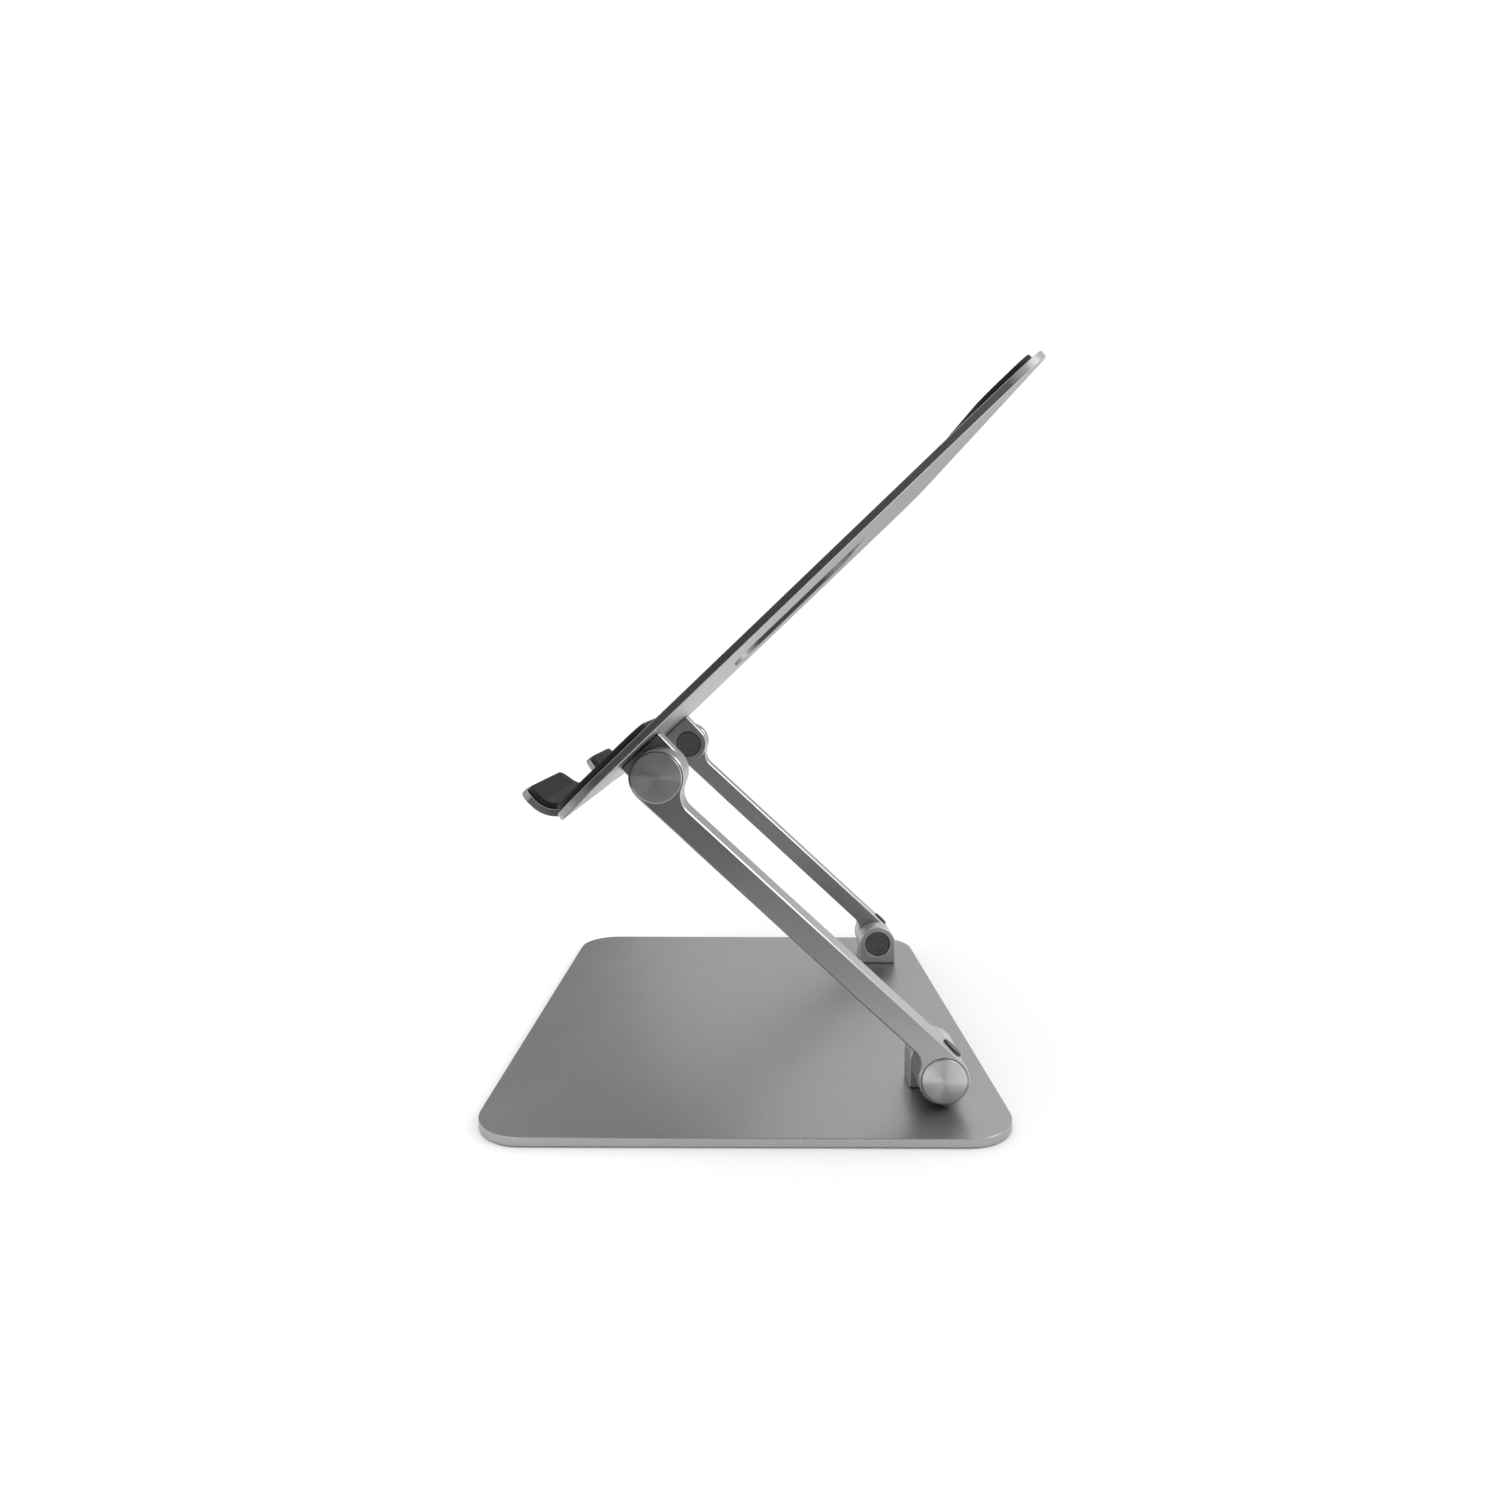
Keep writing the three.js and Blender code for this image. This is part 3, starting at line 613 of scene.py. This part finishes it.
def chamfer_painted_tone(name, colour):
    """A chamfer with fine tool marks, in a tone of its own: lighter than the faces it is a painted
    highlight, darker it is painted shade.
    """
    n = Nodes(name)
    n.shader.inputs["Metallic"].default_value = 1.0
    marks = n.noise(2600, 1)
    n.link(n.blend(n.spread(marks, 0, 1), scaled(colour, 0.93), colour), n.shader.inputs["Base Color"])
    n.link(n.spread(marks, 0.2, 0.3), n.shader.inputs["Roughness"])
    n.bump((marks, 0.12, 0.00002))
    return n.material


def spun(name, colour):
    """A disc faced on a lathe: fine circular grooves round X that fan the light out in wedges."""
    n = Nodes(name)
    n.shader.inputs["Metallic"].default_value = 1.0
    n.shader.inputs["Anisotropic"].default_value = 0.92
    n.shader.inputs["Anisotropic Rotation"].default_value = 0.25
    tangent = n.add("ShaderNodeTangent", direction_type="RADIAL", axis="X")
    n.link(tangent.outputs["Tangent"], n.shader.inputs["Tangent"])
    split = n.add("ShaderNodeSeparateXYZ")
    n.link(n.place, split.inputs["Vector"])
    flat = n.add("ShaderNodeCombineXYZ")
    n.link(split.outputs["Y"], flat.inputs["X"])
    n.link(split.outputs["Z"], flat.inputs["Y"])
    length = n.add("ShaderNodeVectorMath", operation="LENGTH")
    n.link(flat.outputs["Vector"], length.inputs[0])
    rings = n.add("ShaderNodeTexNoise", noise_dimensions="1D", Scale=5200.0, Detail=3.0)
    n.link(length.outputs["Value"], rings.inputs["W"])
    ring = rings.outputs["Fac"]
    n.link(n.blend(n.spread(ring, 0, 1), scaled(colour, 0.86), colour), n.shader.inputs["Base Color"])
    n.link(n.spread(ring, 0.3, 0.36), n.shader.inputs["Roughness"])
    n.bump((ring, 0.02, 0.00002))
    return n.material


def moulded(name, colour, rough, grain_size, depth, gloss=0.5):
    """Silicone, rubber or plastic: a fine moulded grain with faint dust and rub marks."""
    n = Nodes(name)
    n.shader.inputs["Specular IOR Level"].default_value = gloss
    cloud = n.noise(60, 4)
    grain = n.noise(1 / grain_size, 3)
    dust = n.spread(n.noise(420, 5), 0, 1, (0.62, 0.78))
    base = n.blend(n.spread(cloud, 0, 1), scaled(colour, 0.82), scaled(colour, 1.18))
    dusty = n.add("ShaderNodeMix", data_type="RGBA")
    dusty.inputs[7].default_value = (*scaled(colour, 1.9), 1)
    n.link(n.spread(dust, 0, 0.35, (0, 1)), dusty.inputs[0])
    n.link(base, dusty.inputs[6])
    n.link(dusty.outputs[2], n.shader.inputs["Base Color"])
    n.link(n.spread(cloud, rough - 0.06, rough + 0.05), n.shader.inputs["Roughness"])
    n.bump((grain, 0.35, depth))
    return n.material


def plain_steel(name, colour, rough):
    """Turned steel with short directional marks."""
    n = Nodes(name)
    n.shader.inputs["Metallic"].default_value = 1.0
    marks = n.noise(900, 2, (1, 6, 6))
    n.link(n.blend(n.spread(marks, 0, 1), scaled(colour, 0.88), colour), n.shader.inputs["Base Color"])
    n.link(n.spread(marks, rough - 0.05, rough + 0.08), n.shader.inputs["Roughness"])
    n.bump((marks, 0.15, 0.00003))
    return n.material


base_metal = anodised("base_aluminium", (0.41, 0.402, 0.412), 0.36, 0.5)
arm_metal = anodised("arm_aluminium", (0.42, 0.415, 0.415), 0.38, 0.6)
# The brackets are lighter than the arms and base, though they are the same anodising: painted light.
bracket_metal_painted_light = anodised("bracket_aluminium_painted_light", (0.58, 0.575, 0.57), 0.48, 0.4)
# The tray is darker than the arms and base, though it is the same anodising: painted shade.
tray_metal_painted_shade = anodised("tray_aluminium_painted_shade", (0.29, 0.283, 0.28), 0.34, 0.12)
# The chamfers of the arms, ears and tray are lighter than their faces: a painted highlight, over fine
# tool marks.
painted_highlight_edge = chamfer_painted_tone("chamfer_painted_highlight", (0.5, 0.5, 0.49))
# The base's chamfer is darker than its faces: painted shade.
base_edge_painted_shade = chamfer_painted_tone("base_edge_painted_shade", (0.35, 0.35, 0.35))
cap_metal = spun("spun_aluminium", (0.66, 0.66, 0.65))
silicone = moulded("silicone", (0.014, 0.0135, 0.0125), 0.62, 0.0004, 0.00003, gloss=0.2)
pad_rubber = moulded("base_rubber", (0.018, 0.018, 0.018), 0.8, 0.0006, 0.00006)
bumper_rubber = moulded("bumper_rubber", (0.02, 0.02, 0.02), 0.5, 0.0004, 0.00002)
plug_plastic = moulded("plug_plastic", (0.08, 0.077, 0.075), 0.42, 0.0003, 0.00002)
steel = plain_steel("steel", (0.55, 0.55, 0.54), 0.3)
spring_steel = plain_steel("spring_steel", (0.3, 0.3, 0.31), 0.35)
acetal = moulded("acetal", (0.66, 0.64, 0.58), 0.45, 0.0005, 0.00002)

# The arm metal, with the chamfers' painted highlight as the second finish.
ARM_METAL_AND_HIGHLIGHT = [arm_metal, painted_highlight_edge]

# ---------------------------------------------------------------------------
# Base
# ---------------------------------------------------------------------------
screw_holes = [
    (
        circle(side * SCREW_STATION, LOWER_PIVOT.y + end * SCREW_SPREAD),
        bored([
            (BASE_BOTTOM, SCREW_SINK), (BASE_BOTTOM + SCREW_HEAD_HEIGHT, SCREW_HOLE),
            (BASE_TOP, SCREW_HOLE),
        ]),
    )
    for side in SIDES.values()
    for end in (-1, 1)
]
base_rectangle = rectangle(
    -BASE_HALF_WIDTH, -BASE_HALF_DEPTH, BASE_HALF_WIDTH, BASE_HALF_DEPTH, BASE_CORNER
)
pad_rectangle = rectangle(
    -BASE_HALF_WIDTH + PAD_INSET, -BASE_HALF_DEPTH + PAD_INSET,
    BASE_HALF_WIDTH - PAD_INSET, BASE_HALF_DEPTH - PAD_INSET, BASE_CORNER - PAD_INSET,
)
piece(
    "base_plate_fine", shell(base_rectangle, chamfered(BASE_BOTTOM, BASE_TOP, BASE_EDGE), screw_holes),
    placed(), [base_metal, base_edge_painted_shade], "anodised", "base", "base_plate",
)
piece(
    "base_pad_fine", shell(pad_rectangle, softened(0, PAD_TOP, PAD_EDGE)),
    placed(), [pad_rubber] * 2, "base_rubber", "base", "base_pad",
)

# ---------------------------------------------------------------------------
# Arms, lugs and hinges
# ---------------------------------------------------------------------------
ARM_FRAME = placed(LOWER_PIVOT, -ARM_RISE)
TRAY_FRAME = placed(UPPER_PIVOT, TRAY_RISE)
HINGES = {
    "lower": {"pivot": LOWER_PIVOT, "pins": "base", "plug": "base"},
    "upper": {"pivot": UPPER_PIVOT, "pins": "tray_pins", "plug": "tray"},
}


def lug_solid(radius, foot):
    """A right-hand bracket or ear with its bolt bore and its plug's pocket."""
    pocket = bored([
        (LUG_INNER, PLUG_POCKET + PLUG_POCKET_EDGE), (LUG_INNER + PLUG_POCKET_EDGE, PLUG_POCKET),
        (PLUG_POCKET_FLOOR, PLUG_POCKET), (PLUG_POCKET_FLOOR, BOLT_BORE), (LUG_OUTER, BOLT_BORE),
    ])
    levels = chamfered(LUG_INNER, LUG_OUTER, LUG_EDGE)
    bm = shell(lug_outline(radius, foot), levels, [(circle(), pocket)])
    bm.transform(ACROSS)
    return bm


def arm_solid():
    """The right-hand arm with the pockets of both hinges."""

    def pocket(centre, radius):
        return (
            circle(centre, 0),
            bored([
                (ARM_INNER, WASHER_POCKET), (WASHER_FLOOR, WASHER_POCKET),
                (WASHER_FLOOR, BOLT_BORE), (WEB_OUTER, BOLT_BORE), (WEB_OUTER, radius),
                (ARM_OUTER - POCKET_EDGE, radius), (ARM_OUTER, radius + POCKET_EDGE),
            ]),
        )

    pockets = [
        pocket(0, CAPS["lower"] + CAP_PLAY),
        pocket(-PIVOT_SPAN, CAPS["upper"] + CAP_PLAY),
    ]
    bm = shell(arm_outline(), chamfered(ARM_INNER, ARM_OUTER, ARM_EDGE), pockets)
    bm.transform(ACROSS)
    return bm


def cap_solid(radius):
    """The spun disc: a chamfered rim, a flat ring and a very shallow dish."""
    back = CAP_FACE - CAP_THICKNESS
    return turned([
        (back, 0), (back, radius - 0.2), (back + 0.2, radius), (CAP_FACE - 0.35, radius),
        (CAP_FACE - 0.1, radius - 0.12), (CAP_FACE, radius - 0.45),
        (CAP_FACE - 0.02, radius * 0.6), (CAP_FACE - 0.04, radius * 0.3), (CAP_FACE - 0.05, 0),
    ])


def plug_solid():
    """The dark plug: a soft rim, a groove and a slightly domed middle."""
    return turned([
        (PLUG_BACK, 0), (PLUG_BACK, PLUG_RADIUS), (PLUG_FACE + 0.35, PLUG_RADIUS),
        (PLUG_FACE + 0.1, PLUG_RADIUS - 0.12), (PLUG_FACE, PLUG_RADIUS - 0.4),
        (PLUG_FACE, 4.85), (PLUG_FACE + 0.12, 4.7), (PLUG_FACE + 0.3, 4.55),
        (PLUG_FACE + 0.3, 4.35), (PLUG_FACE + 0.08, 4.2), (PLUG_FACE + 0.03, 3.9), (PLUG_FACE, 0),
    ])


for label, side in SIDES.items():
    # The brackets' faces carry painted light; their chamfers take the darker arm metal.
    bracket = piece(
        f"bracket_{label}_fine", mirrored(lug_solid(BRACKET_RADIUS, BRACKET_FOOT), side),
        placed(LOWER_PIVOT), [bracket_metal_painted_light, arm_metal], "anodised", "base", f"bracket_{label}",
    )
    ear = piece(
        f"ear_{label}_fine", mirrored(lug_solid(EAR_RADIUS, EAR_FOOT), side),
        TRAY_FRAME, ARM_METAL_AND_HIGHLIGHT, "anodised", "tray", f"ear_{label}",
    )
    for lug, foot, end in (
        (bracket, BRACKET_FOOT, BRACKET_HOLE_END), (ear, EAR_FOOT, EAR_HOLE_END)
    ):
        start = foot + math.copysign(1, foot)
        drill(lug, *[
            (
                Vector((side * SCREW_STATION, place * SCREW_SPREAD, start)),
                SCREW_HOLE, Vector((0, 0, end - start)),
            )
            for place in (-1, 1)
        ])
    arm = piece(
        f"arm_{label}_fine", mirrored(arm_solid(), side),
        ARM_FRAME, ARM_METAL_AND_HIGHLIGHT, "anodised", "arms", f"arm_{label}",
    )
    skew = Matrix.Rotation(math.radians(ARM_SKEW), 3, "X")
    seat = skew @ Vector((side * BUMPER_STATION, -BUMPER_ALONG, LOWER_BOSS - 0.4))
    drill(arm, (seat, BUMPER_RADIUS + SEAM, skew @ Vector((0, 0, 2))))
    bumper = shell(
        circle(),
        bored([
            (-BUMPER_DEPTH, BUMPER_RADIUS - 0.1), (-BUMPER_DEPTH + 0.1, BUMPER_RADIUS),
            (BUMPER_PROUD - 0.45, BUMPER_RADIUS), (BUMPER_PROUD - 0.2, BUMPER_RADIUS - 0.1),
            (BUMPER_PROUD - 0.06, BUMPER_RADIUS - 0.3), (BUMPER_PROUD, BUMPER_RADIUS - 0.6),
        ]),
    )
    bmesh.ops.translate(
        bumper, vec=(side * BUMPER_STATION, -BUMPER_ALONG, LOWER_BOSS), verts=bumper.verts
    )
    bumper.transform(Matrix.Rotation(math.radians(ARM_SKEW), 4, "X"))
    piece(
        f"bumper_{label}_fine", bumper, ARM_FRAME, [bumper_rubber] * 2,
        "bumper_rubber", "arms", f"bumper_{label}",
    )
    for level, hinge in HINGES.items():
        where = placed(hinge["pivot"])
        piece(
            f"{level}_cap_{label}_fine", mirrored(cap_solid(CAPS[level]), side), where,
            [cap_metal], "spun", "arms", f"{level}_cap_{label}", smooth=50,
        )
        piece(
            f"{level}_plug_{label}_fine", mirrored(plug_solid(), side), where,
            [plug_plastic], "plug_plastic", hinge["plug"], f"{level}_plug_{label}", smooth=50,
        )
        for kind, finish, slot, body in (
            ("bolt", steel, "steel", hinge["pins"]),
            ("nut", steel, "steel", hinge["pins"]),
            ("spring_washer", spring_steel, "spring_steel", hinge["pins"]),
            ("inner_washer", acetal, "acetal", "arms"),
            ("outer_washer", acetal, "acetal", "arms"),
        ):
            node = f"{level}_{kind}_{label}"
            piece(
                f"{node}_fine", from_cad(node, hinge["pivot"], HINGE_EDGE), where,
                [finish], slot, body, node,
            )

# ---------------------------------------------------------------------------
# Tray
# ---------------------------------------------------------------------------
screw_top = TRAY_THICKNESS - SCREW_HEAD_SINK
screw_seats = [
    (
        circle(side * SCREW_STATION, end * SCREW_SPREAD),
        bored([
            (0, SCREW_HOLE), (screw_top - SCREW_HEAD_HEIGHT, SCREW_HOLE),
            (screw_top, SCREW_SINK), (TRAY_THICKNESS, SCREW_SINK),
        ]),
    )
    for side in SIDES.values()
    for end in (-1, 1)
]
vent = rectangle(-VENT_HALF_WIDTH, VENT_BOTTOM, VENT_HALF_WIDTH, VENT_TOP, VENT_CORNER)
vent_levels = [(z, -inset) for z, inset in chamfered(0, TRAY_THICKNESS, VENT_EDGE)]
tray_levels = [
    (0, TRAY_LOWER_EDGE), (TRAY_LOWER_EDGE, 0),
    (TRAY_THICKNESS - TRAY_UPPER_EDGE, 0), (TRAY_THICKNESS, TRAY_UPPER_EDGE),
]
tray = shell(tray_outline(), tray_levels, [(vent, vent_levels), *screw_seats])
NEARBY = 1  # margin within which a face counts as the vent's or a lip's
# Only the tray's own lower edge keeps the painted highlight; the vent, the lips and the upper half
# take the tray's painted-shade metal.
for face in tray.faces:
    middle = face.calc_center_median()
    by_vent = (
        abs(middle.x) < VENT_HALF_WIDTH + NEARBY
        and VENT_BOTTOM - NEARBY < middle.y < VENT_TOP + NEARBY
    )
    on_lip = middle.y < BEND_START + 2 * NEARBY
    if by_vent or on_lip or middle.z > TRAY_THICKNESS / 2:
        face.material_index = 0
piece(
    "tray_panel_fine", bent(tray, 0), TRAY_FRAME,
    [tray_metal_painted_shade, painted_highlight_edge], "anodised", "tray", "tray_panel", in_mesh=True,
)
silicone_lift = TRAY_THICKNESS + SEAM
for label, side in SIDES.items():
    grip = bent(shell(grip_outline(), softened(0, SILICONE, SILICONE_EDGE)), silicone_lift)
    piece(
        f"grip_pad_{label}_fine", mirrored(grip, side), TRAY_FRAME,
        [silicone] * 2, "silicone", "tray", f"grip_pad_{label}",
    )
    head = shell(head_outline(), softened(0, SILICONE, SILICONE_EDGE))
    bmesh.ops.translate(head, vec=(0, 0, TRAY_LIFT + silicone_lift), verts=head.verts)
    piece(
        f"head_pad_{label}_fine", mirrored(head, side), TRAY_FRAME,
        [silicone] * 2, "silicone", "tray", f"head_pad_{label}",
    )
    for kind, body in (("base", "base"), ("ear", "tray")):
        for end in ENDS:
            node = f"{kind}_screw_{label}_{end}"
            low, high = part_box(node)
            middle = (low + high) / 2 / MM
            piece(
                f"{node}_fine", from_cad(node, middle, SCREW_EDGE), placed(middle),
                [steel], "steel", body, node,
            )

# ---------------------------------------------------------------------------
# Camera
# ---------------------------------------------------------------------------
CAMERA_PLACE = Vector((0.4126, 0.00033, 0.16596))
CAMERA_PITCH = 0.08131  # radians below level
CAMERA_YAW = 0.00256  # radians towards +Y from looking along -X
CAMERA_ROLL = 0.00434
SENSOR = 36.0
FOCAL_LENGTH = SENSOR * 0.57266


def camera():
    """The camera at its measured place and aim."""
    sin_p, cos_p = math.sin(CAMERA_PITCH), math.cos(CAMERA_PITCH)
    sin_y, cos_y = math.sin(CAMERA_YAW), math.cos(CAMERA_YAW)
    ahead = Vector((-cos_p * cos_y, cos_p * sin_y, -sin_p))
    right = Vector((sin_y, cos_y, 0))
    up = Vector((-sin_p * cos_y, sin_p * sin_y, cos_p))
    sin_r, cos_r = math.sin(CAMERA_ROLL), math.cos(CAMERA_ROLL)
    columns = (right * cos_r + up * sin_r, up * cos_r - right * sin_r, -ahead)
    data = bpy.data.cameras.new("camera")
    data.sensor_width = SENSOR
    data.lens = FOCAL_LENGTH
    data.clip_start = 0.01
    obj = bpy.data.objects.new("camera", data)
    bpy.context.scene.collection.objects.link(obj)
    obj.matrix_world = Matrix.Translation(CAMERA_PLACE) @ Matrix(columns).transposed().to_4x4()
    bpy.context.scene.camera = obj


camera()

# ---------------------------------------------------------------------------
# Stage and light
# ---------------------------------------------------------------------------


def stage_plane(name, centre, facing, width, height, colour, glow=0.0):
    """A flat stage panel that faces along a direction."""
    bm = bmesh.new()
    bmesh.ops.create_grid(bm, x_segments=1, y_segments=1, size=0.5)
    bmesh.ops.scale(bm, vec=(width, height, 1), verts=bm.verts)
    mesh = bpy.data.meshes.new(name)
    bm.to_mesh(mesh)
    bm.free()
    obj = bpy.data.objects.new(name, mesh)
    bpy.context.scene.collection.objects.link(obj)
    turn = Vector(facing).to_track_quat("Z", "Y").to_matrix().to_4x4()
    obj.matrix_world = Matrix.Translation(centre) @ turn
    material = bpy.data.materials.new(name)
    material.use_nodes = True
    shader = material.node_tree.nodes["Principled BSDF"]
    shader.inputs["Base Color"].default_value = (*colour, 1)
    shader.inputs["Roughness"].default_value = 0.9
    shader.inputs["Specular IOR Level"].default_value = 0.1
    shader.inputs["Emission Color"].default_value = (*colour, 1)
    shader.inputs["Emission Strength"].default_value = glow
    mesh.materials.append(material)
    return obj


def card(name, centre, facing, width, height, level):
    """A studio card that only the object's reflections see."""
    obj = stage_plane(name, centre, facing, width, height, (level,) * 3, 1.0)
    shader = obj.data.materials[0].node_tree.nodes["Principled BSDF"]
    shader.inputs["Base Color"].default_value = (0, 0, 0, 1)
    shader.inputs["Specular IOR Level"].default_value = 0.0
    obj.visible_camera = False
    obj.visible_diffuse = False
    obj.visible_shadow = False
    obj.visible_transmission = False


def soft_light(name, place, aim, size, power):
    """A square area light in watts."""
    data = bpy.data.lights.new(name, "AREA")
    data.shape = "SQUARE"
    data.size = size
    data.energy = power
    obj = bpy.data.objects.new(name, data)
    bpy.context.scene.collection.objects.link(obj)
    direction = Vector(aim) - Vector(place)
    obj.matrix_world = (
        Matrix.Translation(place) @ direction.to_track_quat("-Z", "Y").to_matrix().to_4x4()
    )


stage_plane("floor", (0, 0, 0), (0, 0, 1), 30, 30, (0.96, 0.96, 0.96))
card("grey_floor_card", (0.28, 0, 0.003), (0, 0, 1), 0.2, 0.7, 0.55)
card("dark_floor_card", (1.0, 0, 0.003), (0, 0, 1), 1.2, 0.8, 0.08)
card("dark_card", (1.6, 0, 1.4), (-1, 0, 0), 1.5, 2.8, 0.08)
card("far_card_low", (-2.2, 0.4, 0.45), (1, 0, 0), 1.5, 0.9, 0.6)
card("far_card_high", (-2.2, 0.4, 1.5), (1, 0, 0), 1.5, 1.2, 1.0)
card("far_card_left", (-2.2, -1.35, 1.0), (1, 0, 0), 2.0, 2.0, 0.3)
soft_light("key", (0.5, -0.7, 1.5), (0, 0, 0.1), 1.2, 3)
soft_light("rim", (0.1, 1.3, 1.3), (0, 0, 0.1), 0.8, 4.5)

world = bpy.data.worlds.new("studio")
world.use_nodes = True
world.node_tree.nodes["Background"].inputs["Color"].default_value = (1, 1, 1, 1)
world.node_tree.nodes["Background"].inputs["Strength"].default_value = 1.06
bpy.context.scene.world = world
bpy.context.scene.view_settings.view_transform = "Standard"
